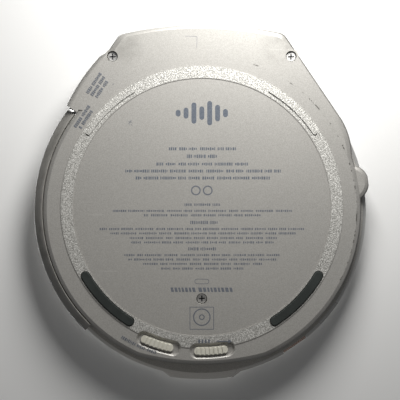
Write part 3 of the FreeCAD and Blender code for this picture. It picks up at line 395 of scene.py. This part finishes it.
MATERIALS = {
    "case": silver_case(),
    "rail": silver_rail(),
    "lid": silver_lid(),
    "key": moulded("satin_silver_key", (0.5, 0.495, 0.48), (0.62, 0.61, 0.6), 0.3, metallic=0.75),
    "button": moulded("warm_button", (0.55, 0.42, 0.36), (0.66, 0.56, 0.5), 0.26, metallic=0.7),
    "rubber": moulded("black_rubber", (0.012, 0.016, 0.014), (0.028, 0.034, 0.031), 0.8, 1400, 0.5),
    "knob": moulded("ivory_knob", (0.56, 0.545, 0.47), (0.44, 0.42, 0.35), 0.45),
    "screw": brushed("plated_screw", (0.86, 0.85, 0.82), 0.32, (1, 1, 6)),
    "plate": brushed("zinc_plate", (0.56, 0.56, 0.55), 0.34, (12, 1, 1)),
    "contact": brushed("spring_contact", (0.78, 0.66, 0.4), 0.25, (1, 8, 1)),
    "grey": moulded("grey_plastic", (0.17, 0.175, 0.185), (0.22, 0.225, 0.235), 0.48, 2400, 0.5),
    "black": moulded("black_plastic", (0.02, 0.02, 0.022), (0.04, 0.04, 0.042), 0.4),
    "board": circuit_board(),
    "can": brushed("capacitor_can", (0.72, 0.72, 0.74), 0.22, (1, 1, 9)),
    "glass": lens_glass(),
    "sleeve": moulded("battery_sleeve", (0.06, 0.12, 0.19), (0.1, 0.17, 0.24), 0.3),
    "ink": print_ink(),
    "fine_ink_and_painted_shade": fine_ink_and_painted_shade(),
}

FINISH = {
    "case": ("bottom_cabinet", "upper_cabinet"),
    "rail": ("side_rail",),
    "lid": ("lid_shell",),
    "key": ("previous_key", "stop_key", "play_key", "next_key", "sound_key"),
    "button": ("open_button",),
    "rubber": ("rubber_foot_left", "rubber_foot_right", "chassis_dampers"),
    "knob": ("hold_slider", "volume_limit_slider"),
    "screw": ("case_screws", "hinge_pins", "chuck_balls", "spindle_shaft", "sled_shaft", "feed_screw"),
    "plate": ("mechanism_chassis", "latch_slide", "spindle_motor", "feed_motor"),
    "contact": ("battery_contacts", "key_domes"),
    "grey": ("lid_inner_cover", "battery_door"),
    "black": ("headphone_jack", "dc_jack", "line_out_jack", "board_chips", "slide_switches",
              "lid_switch", "pickup_sled", "turntable", "lens_holder"),
    "board": ("main_board", "lid_board"),
    "can": ("capacitors",),
    "glass": ("objective_lens",),
    "sleeve": ("battery_cells",),
}


def paint_frame():
    """Gives every CAD node its finish."""
    for finish, names in FINISH.items():
        for name in names:
            node = NODES[name]
            node.data.materials.clear()
            node.data.materials.append(MATERIALS[finish])


# The width of each moulded piece's soft edge, in mm.
SOFT_EDGES = {"bottom_cabinet": 0.18, "upper_cabinet": 0.2, "side_rail": 0.35, "lid_shell": 0.12,
              "open_button": 0.15, "hold_slider": 0.1, "volume_limit_slider": 0.1}


def soften_edges():
    """Small rounds on the moulded edges, so that they catch the light."""
    for name, width in SOFT_EDGES.items():
        node = NODES[name]
        weld = node.modifiers.new("weld", "WELD")
        weld.merge_threshold = 1e-6
        bevel = node.modifiers.new("soft_edge", "BEVEL")
        bevel.width = width * MM
        bevel.segments = 2
        bevel.limit_method = "ANGLE"
        bevel.angle_limit = math.radians(32)
        bevel.harden_normals = True


# ---------------------------------------------------------------- small mesh pieces

def new_piece(name, mesh_data, finish, body):
    """A mesh object with a finish, riding on a body."""
    mesh = bpy.data.meshes.new(name)
    bmesh.ops.recalc_face_normals(mesh_data, faces=mesh_data.faces)
    mesh_data.to_mesh(mesh)
    mesh_data.free()
    piece = bpy.data.objects.new(name, mesh)
    bpy.context.scene.collection.objects.link(piece)
    mesh.materials.append(MATERIALS[finish])
    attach(piece, body)
    return piece


def add_plate(mesh, outline, low, high):
    """A thin closed plate over a convex outline of (x, y) points."""
    below = [mesh.verts.new((x, y, low)) for x, y in outline]
    above = [mesh.verts.new((x, y, high)) for x, y in outline]
    mesh.faces.new(list(reversed(below)))
    mesh.faces.new(above)
    count = len(outline)
    for index in range(count):
        after = (index + 1) % count
        mesh.faces.new((below[index], below[after], above[after], above[index]))


def add_band(mesh, inner, outer, low, high):
    """A closed band between two outlines with the same number of points."""
    rings = [[mesh.verts.new((x, y, z)) for x, y in line] for line, z in
             ((inner, low), (outer, low), (outer, high), (inner, high))]
    count = len(inner)
    for first, second in zip(rings, rings[1:] + rings[:1]):
        for index in range(count):
            after = (index + 1) % count
            mesh.faces.new((first[index], second[index], second[after], first[after]))


def circle_points(x, y, radius, count=40):
    """A circle's outline."""
    return [(x + radius * math.cos(math.tau * n / count), y + radius * math.sin(math.tau * n / count))
            for n in range(count)]


def pill_points(x, y, width, depth, steps=8):
    """A stadium outline along X."""
    radius = depth / 2
    reach = width / 2 - radius
    points = []
    for side, start in ((1, -90), (-1, 90)):
        for step in range(steps + 1):
            angle = math.radians(start + 180 * step / steps)
            points.append((x + side * reach + radius * math.cos(angle), y + radius * math.sin(angle)))
    return points


def block_points(x, y, width, depth, lean=0.0):
    """A rectangle, leaning sideways by lean at its top."""
    left, right = x - width / 2, x + width / 2
    return [(left, y - depth / 2), (right, y - depth / 2), (right + lean, y + depth / 2),
            (left + lean, y + depth / 2)]


# ---------------------------------------------------------------- print on the underside

# Rows of plain marks stand in for the printed lines: centre from the spindle, width, height.
HEAVY_ROWS = ((22.5, 26.4, 1.15), (19.6, 11.6, 1.35), (16.6, 35.6, 1.15), (13.9, 61.0, 1.15),
              (11.2, 52.6, 1.15))
FINE_ROWS = ((0.9, 14.0, 0.95), (-1.5, 69.5, 0.85), (-3.2, 45.5, 0.85), (-6.0, 12.2, 1.25),
             (-8.5, 79.0, 0.85), (-10.2, 72.5, 0.85), (-12.0, 58.0, 0.85), (-13.7, 55.5, 0.85),
             (-16.2, 10.9, 1.25), (-18.6, 60.0, 0.85), (-20.3, 57.5, 0.85), (-22.0, 46.5, 0.85),
             (-23.8, 32.0, 0.85))


def row_of_marks(mesh, width, depth, draw, put, low, high):
    """Upright ticks and short bars grouped into words, with no letters. put gives a point's place."""
    cursor = -width / 2
    while cursor < width / 2 - 0.6:
        word = min(draw.uniform(2.4, 7.2), width / 2 - cursor)
        stop = cursor + word
        while cursor < stop - 0.3:
            mark = min(draw.choice((0.34, 0.46, 0.6)), stop - cursor)
            tall = depth * draw.choice((1.0, 1.0, 0.72))
            corners = block_points(cursor + mark / 2, 0, mark, tall)
            add_plate(mesh, [put(x, y) for x, y in corners], low, high)
            cursor += mark + 0.26
        cursor = stop + 0.75


def level_row(centre_y):
    """Puts marks on a level line at centre_y mm from the spindle."""
    return lambda x, y: (x * MM, SPINDLE.y + (centre_y + y) * MM)


def turned_row(centre, turn, offset):
    """Puts marks on a line through a centre in mm, turned by some degrees and moved across."""
    along = Vector((math.cos(math.radians(turn)), math.sin(math.radians(turn))))
    across = Vector((-along.y, along.x))

    def put(x, y):
        spot = Vector(centre) + along * x + across * (y + offset)
        return spot.x * MM, spot.y * MM
    return put


def arc_row(middle_bearing, radius):
    """Puts marks on an arc round the spindle, at a bearing in degrees and a radius in mm."""
    def put(x, y):
        bearing = math.radians(middle_bearing) - x / radius
        reach = (radius + y) * MM
        return reach * math.sin(bearing), SPINDLE.y + reach * math.cos(bearing)
    return put


def printed_rows():
    """The label's rows: the heavy ones above, the fine ones below."""
    draw = random.Random(7)
    for name, rows, finish in (("printed_rows", HEAVY_ROWS, "ink"),
                               ("printed_small_rows", FINE_ROWS, "fine_ink_and_painted_shade")):
        mesh = bmesh.new()
        for centre_y, width, depth in rows:
            row_of_marks(mesh, width, depth, draw, level_row(centre_y), PRINT_LOW, PRINT_HIGH)
        new_piece(name, mesh, finish, "base")


# Raised captions: centre (x, y), turn in degrees, and the rows as (offset, width, height), in mm.
SIDE_TURN = -56.0
CAPTIONS = (((40.3, 44.9), SIDE_TURN, ((1.9, 9.8, 1.3), (0.0, 9.0, 1.3), (-1.9, 7.4, 1.3))),
            ((45.6, 32.6), SIDE_TURN, ((1.0, 10.2, 1.3), (-0.9, 8.2, 1.3))))
CAPTION_HEIGHT = 0.1 * MM

# The caption beside the wells: its bearing in degrees, and its radius, width and height in mm.
EDGE_CAPTION = (155.0, 59.0, 15.5, 1.2)


def raised_captions_painted_shade():
    """Small raised marks beside the sockets, and one row that follows the edge beside the wells. They are
    coloured dark as painted shade, in place of the shadows along their raised edges.
    """
    draw = random.Random(5)
    mesh = bmesh.new()
    low = UNDERSIDE - CAPTION_HEIGHT
    for centre, turn, rows in CAPTIONS:
        for offset, width, depth in rows:
            row_of_marks(mesh, width, depth, draw, turned_row(centre, turn, offset), low, PRINT_HIGH)
    bearing, radius, width, depth = EDGE_CAPTION
    row_of_marks(mesh, width, depth, draw, arc_row(bearing, radius), low, PRINT_HIGH)
    # The dark colour on these raised marks is painted shade.
    new_piece("raised_captions_painted_shade", mesh, "fine_ink_and_painted_shade", "base")


HOLD_MARK_Y = SPINDLE.y - 51.9 * MM


def raised_hold_mark_painted_shade():
    """Four raised ticks and a small arrow over the hold well, on the textured ring. They are coloured
    dark as painted shade of their raised edges.
    """
    mesh = bmesh.new()
    low, high = RING_FACE - CAPTION_HEIGHT, RING_FACE + PRINT_THICKNESS
    y = HOLD_MARK_Y
    for index in range(4):
        add_plate(mesh, block_points((1.0 - index * 1.25) * MM, y, 0.7 * MM, 1.4 * MM), low, high)
    add_plate(mesh, block_points(-8.0 * MM, y, 4.6 * MM, 0.4 * MM), low, high)
    arrow_head = [(-11.6 * MM, y), (-10.2 * MM, y + 0.8 * MM), (-10.2 * MM, y - 0.8 * MM)]
    add_plate(mesh, arrow_head, low, high)
    # The dark colour on these raised ticks is painted shade.
    new_piece("raised_hold_mark_painted_shade", mesh, "fine_ink_and_painted_shade", "base")


CROSS_LENGTH = 2.3 * MM
CROSS_WIDTH = 0.55 * MM


def screw_cross_painted_shade():
    """Painted shade: black plates in the cross slot of each case screw's head, standing in for the dark
    recess.
    """
    low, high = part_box("case_screws")
    head = SCREW_HEAD_RADIUS
    places = [(high.x - head, high.y - head), (low.x + head, high.y - head), (0, low.y + head)]
    mesh = bmesh.new()
    for x, y in places:
        for width, depth in ((CROSS_LENGTH, CROSS_WIDTH), (CROSS_WIDTH, CROSS_LENGTH)):
            add_plate(mesh, block_points(x, y, width, depth), low.z - 0.012 * MM, low.z + 0.3 * MM)
    new_piece("screw_cross_painted_shade", mesh, "black", "base")


# Scratches and dents on the underside, as lines between (x, y) points in mm.
SCRATCHES = (((26.9, 31.8), (28.5, 30.5)), ((26.8, 30.7), (28.6, 31.6)), ((27.6, 32.0), (27.9, 30.0)),
             ((27.3, 30.3), (27.0, 29.7)), ((1.9, 64.2), (1.9, 59.8)), ((1.9, 64.2), (6.4, 64.4)),
             ((34.0, 45.9), (34.5, 45.7)), ((34.3, 46.1), (34.3, 45.5)))


SCRATCH_HALF_WIDTH = 0.07 * MM


def scratch_marks():
    """Thin dark plates for the scratches and dents."""
    mesh = bmesh.new()
    for start, stop in SCRATCHES:
        start, stop = Vector(start) * MM, Vector(stop) * MM
        across = (stop - start).orthogonal().normalized() * SCRATCH_HALF_WIDTH
        outline = [start - across, stop - across, stop + across, start + across]
        flat = [(point.x, point.y) for point in outline]
        add_plate(mesh, flat, UNDERSIDE - PRINT_THICKNESS / 2, PRINT_HIGH)
    new_piece("scratch_marks", mesh, "fine_ink_and_painted_shade", "base")


KEY_SYMBOLS = {"play_key": "play", "stop_key": "stop", "previous_key": "back", "next_key": "forward",
               "sound_key": "dot"}
SYMBOL_SIZE = 1.7 * MM


def triangle_points(x, y, size, way):
    """A triangle that points along X, towards +X where way is 1."""
    back, tip = x - way * size / 2, x + way * size / 2
    return [(back, y - size * 0.6), (tip, y), (back, y + size * 0.6)]


def key_symbols():
    """The usual small signs for play, stop, back and forward, and a dot, printed on the keys."""
    for name, symbol in KEY_SYMBOLS.items():
        low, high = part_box(name)
        x, y = (low.x + high.x) / 2, (low.y + high.y) / 2
        size = SYMBOL_SIZE
        mesh = bmesh.new()
        base, top = high.z - 0.05 * MM, high.z + 0.025 * MM
        if symbol == "play":
            add_plate(mesh, triangle_points(x - 1.4 * MM, y, size, 1), base, top)
            for shift in (1.0, 2.0):
                add_plate(mesh, block_points(x + shift * MM, y, 0.5 * MM, 2.0 * MM), base, top)
        elif symbol == "stop":
            add_plate(mesh, block_points(x, y, size, size), base, top)
        elif symbol == "dot":
            add_plate(mesh, circle_points(x, y, 0.8 * MM, 20), base, top)
        else:
            way = 1 if symbol == "forward" else -1
            for shift in (-0.85, 0.85):
                add_plate(mesh, triangle_points(x + shift * MM, y, size, way), base, top)
            add_plate(mesh, block_points(x + way * 2.0 * MM, y, 0.45 * MM, 2.0 * MM), base, top)
        new_piece(f"{name}_symbol", mesh, "ink", body_of(NODES[name])[0])


TRIM_RADIUS = 30.0 * MM
TRIM_WIDTH = 0.5 * MM
TRIM_LOW = LID_TOP - 0.325 * MM
TRIM_HIGH = LID_TOP - 0.025 * MM


def lid_trim_ring():
    """A thin satin ring set in the lid's top."""
    inner = circle_points(0, LID_CENTRE_Y, TRIM_RADIUS - TRIM_WIDTH, 128)
    outer = circle_points(0, LID_CENTRE_Y, TRIM_RADIUS, 128)
    mesh = bmesh.new()
    add_band(mesh, inner, outer, TRIM_LOW, TRIM_HIGH)
    new_piece("lid_trim_ring", mesh, "key", "lid")


RIB_COUNT = 7
RIB_PITCH = 1.65 * MM
RIB_HALF_WIDTH = 0.52 * MM
RIB_HALF_LENGTH = 1.25 * MM


def knob_ribs():
    """Low ribs across each slider's face."""
    inner, outer = WELL_RADIUS - RIB_HALF_LENGTH, WELL_RADIUS + RIB_HALF_LENGTH
    half = RIB_HALF_WIDTH / WELL_RADIUS
    for name in ("hold_slider", "volume_limit_slider"):
        low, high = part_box(name)
        middle = (low + high) / 2
        bearing = math.atan2(middle.x, middle.y - SPINDLE.y)
        mesh = bmesh.new()
        for index in range(RIB_COUNT):
            turn = bearing + (index - (RIB_COUNT - 1) / 2) * RIB_PITCH / WELL_RADIUS
            left, right = turn - half, turn + half
            corners = [(left, outer), (right, outer), (right, inner), (left, inner)]
            outline = [(r * math.sin(a), SPINDLE.y + r * math.cos(a)) for a, r in corners]
            add_plate(mesh, outline, low.z - 0.22 * MM, low.z + 0.05 * MM)
        rib = new_piece(f"{name}_ribs", mesh, "knob", body_of(NODES[name])[0])
        bevel = rib.modifiers.new("soft_edge", "BEVEL")
        bevel.width = 0.1 * MM
        bevel.segments = 2


# The emblem's bars: their lengths, pitch and width, in mm.
EMBLEM_BARS = (3.2, 6.4, 9.4, 5.2, 8.2, 4.2, 2.6)
EMBLEM_PITCH = 3.05
EMBLEM_WIDTH = 1.9
EMBLEM_Y = SPINDLE.y + 36.3 * MM


def printed_emblem():
    """A plain group of upright bars with round ends."""
    mesh = bmesh.new()
    middle = (len(EMBLEM_BARS) - 1) / 2
    for index, length in enumerate(EMBLEM_BARS):
        x = (index - middle) * EMBLEM_PITCH * MM
        pill = pill_points(0, 0, length * MM, EMBLEM_WIDTH * MM)
        upright = [(x + across, EMBLEM_Y + along) for along, across in pill]
        add_plate(mesh, upright[::-1], PRINT_LOW, PRINT_HIGH)
    new_piece("printed_emblem", mesh, "ink", "base")


def outline_ring(mesh, x, y, radius, line):
    """A thin printed circle."""
    add_band(mesh, circle_points(x, y, radius - line), circle_points(x, y, radius), PRINT_LOW, PRINT_HIGH)


# Where the printed symbols are.
RINGS_Y = SPINDLE.y + 6.4 * MM
PILL_Y = SPINDLE.y - 28.8 * MM
BARS_Y = SPINDLE.y - 32.0 * MM
DISC_Y = SPINDLE.y - 42.6 * MM
FRAME_Y = SPINDLE.y - 43.0 * MM


def printed_symbols():
    """Small generic symbols: two rings, a pill, a line of leaning bars and a disc in a frame."""
    mesh = bmesh.new()
    for x in (-2.3, 2.3):
        outline_ring(mesh, x * MM, RINGS_Y, 1.9 * MM, 0.5 * MM)
    pill_in = pill_points(0, PILL_Y, 5.2 * MM, 1.6 * MM)
    pill_out = pill_points(0, PILL_Y, 5.6 * MM, 2.0 * MM)
    add_band(mesh, pill_in, pill_out, PRINT_LOW, PRINT_HIGH)
    outline_ring(mesh, 0, DISC_Y, 3.4 * MM, 0.45 * MM)
    outline_ring(mesh, 0, DISC_Y, 1.1 * MM, 0.4 * MM)
    frame_in = block_points(0, FRAME_Y, 8.9 * MM, 8.3 * MM)
    frame_out = block_points(0, FRAME_Y, 9.4 * MM, 8.8 * MM)
    add_band(mesh, frame_in, frame_out, PRINT_LOW, PRINT_HIGH)
    cursor = -12.0
    draw = random.Random(11)
    while cursor < 11.4:
        mark = draw.uniform(0.7, 1.3)
        bar = block_points((cursor + mark / 2) * MM, BARS_Y, mark * MM, 1.7 * MM, 0.4 * MM)
        add_plate(mesh, bar, PRINT_LOW, PRINT_HIGH)
        cursor += mark + (0.5 if draw.random() < 0.85 else 1.3)
    new_piece("printed_symbols", mesh, "fine_ink_and_painted_shade", "base")


# ---------------------------------------------------------------- stage, light and camera

PHOTO_DISTANCE = 450 * MM
PHOTO_WIDTH = 154.4 * MM


def one_way_floor(name, z, seen_from_above):
    """A pale floor that shows from one side only, so that the other side looks through it."""
    mesh = bmesh.new()
    bmesh.ops.create_grid(mesh, x_segments=1, y_segments=1, size=3.0)
    if not seen_from_above:
        bmesh.ops.reverse_faces(mesh, faces=mesh.faces)
    data = bpy.data.meshes.new(name)
    mesh.to_mesh(data)
    mesh.free()
    floor = bpy.data.objects.new(name, data)
    floor.location.z = z
    bpy.context.scene.collection.objects.link(floor)
    for ray in ("visible_diffuse", "visible_glossy", "visible_transmission", "visible_shadow"):
        setattr(floor, ray, False)
    material = bpy.data.materials.new(name)
    material.use_nodes = True
    tree = material.node_tree
    tree.nodes.clear()
    diffuse = tree.nodes.new("ShaderNodeBsdfDiffuse")
    diffuse.inputs["Color"].default_value = (0.72, 0.72, 0.71, 1)
    clear = tree.nodes.new("ShaderNodeBsdfTransparent")
    side = tree.nodes.new("ShaderNodeNewGeometry")
    mix = tree.nodes.new("ShaderNodeMixShader")
    output = tree.nodes.new("ShaderNodeOutputMaterial")
    tree.links.new(side.outputs["Backfacing"], mix.inputs[0])
    tree.links.new(diffuse.outputs[0], mix.inputs[1])
    tree.links.new(clear.outputs[0], mix.inputs[2])
    tree.links.new(mix.outputs[0], output.inputs[0])
    data.materials.append(material)
    return floor


def area_light(name, place, target, size, power, colour=(1, 1, 1)):
    """A round light at a place, turned to a target."""
    data = bpy.data.lights.new(name, "AREA")
    data.shape = "DISK"
    data.size = size
    data.energy = power
    data.color = colour
    light = bpy.data.objects.new(name, data)
    light.location = place
    light.rotation_euler = (Vector(target) - Vector(place)).to_track_quat("-Z", "Y").to_euler()
    bpy.context.scene.collection.objects.link(light)
    return light


def make_world():
    """A weak, slightly cool light from all around."""
    world = bpy.data.worlds.new("studio")
    world.use_nodes = True
    world.node_tree.nodes["Background"].inputs["Color"].default_value = (0.9, 0.92, 0.95, 1)
    world.node_tree.nodes["Background"].inputs["Strength"].default_value = 0.12
    bpy.context.scene.world = world


def make_lights():
    """A key light at the hinge side and a weak fill light the underside. Three more light the top."""
    area_light("underside_key", (-0.035, 0.165, -0.125), (0, 0.03, 0), 0.12, 0.8, (1, 0.99, 0.975))
    area_light("underside_fill", (0.05, -0.25, -0.45), (0, 0, 0), 0.3, 0.05, (1, 0.9, 0.78))
    area_light("top_key", (0.12, -0.12, 0.62), (0, 0, 0.01), 0.35, 4.2)
    area_light("top_fill", (0.3, 0.05, 0.5), (0, 0, 0.01), 0.4, 1.8)
    area_light("top_back", (0.1, 0.4, 0.5), (0, 0, 0.01), 0.4, 2.2)


def make_camera():
    """The camera looks up at the underside, with the hinge side at the top of the picture."""
    data = bpy.data.cameras.new("camera")
    data.sensor_width = 36
    data.lens = 36 * PHOTO_DISTANCE / PHOTO_WIDTH
    camera = bpy.data.objects.new("camera", data)
    axes = Matrix(((-1, 0, 0), (0, 1, 0), (0, 0, -1))).to_4x4()
    camera.matrix_world = Matrix.Translation((0.7 * MM, SPINDLE.y + 2.7 * MM, -PHOTO_DISTANCE)) @ axes
    bpy.context.scene.collection.objects.link(camera)
    bpy.context.scene.camera = camera


paint_frame()
soften_edges()
printed_rows()
printed_emblem()
printed_symbols()
raised_captions_painted_shade()
raised_hold_mark_painted_shade()
screw_cross_painted_shade()
scratch_marks()
knob_ribs()
key_symbols()
lid_trim_ring()
one_way_floor("floor", 0.0, True)
one_way_floor("backdrop", TOP + 0.3 * MM, False)
make_world()
make_lights()
make_camera()
bpy.context.scene.view_settings.view_transform = "Standard"
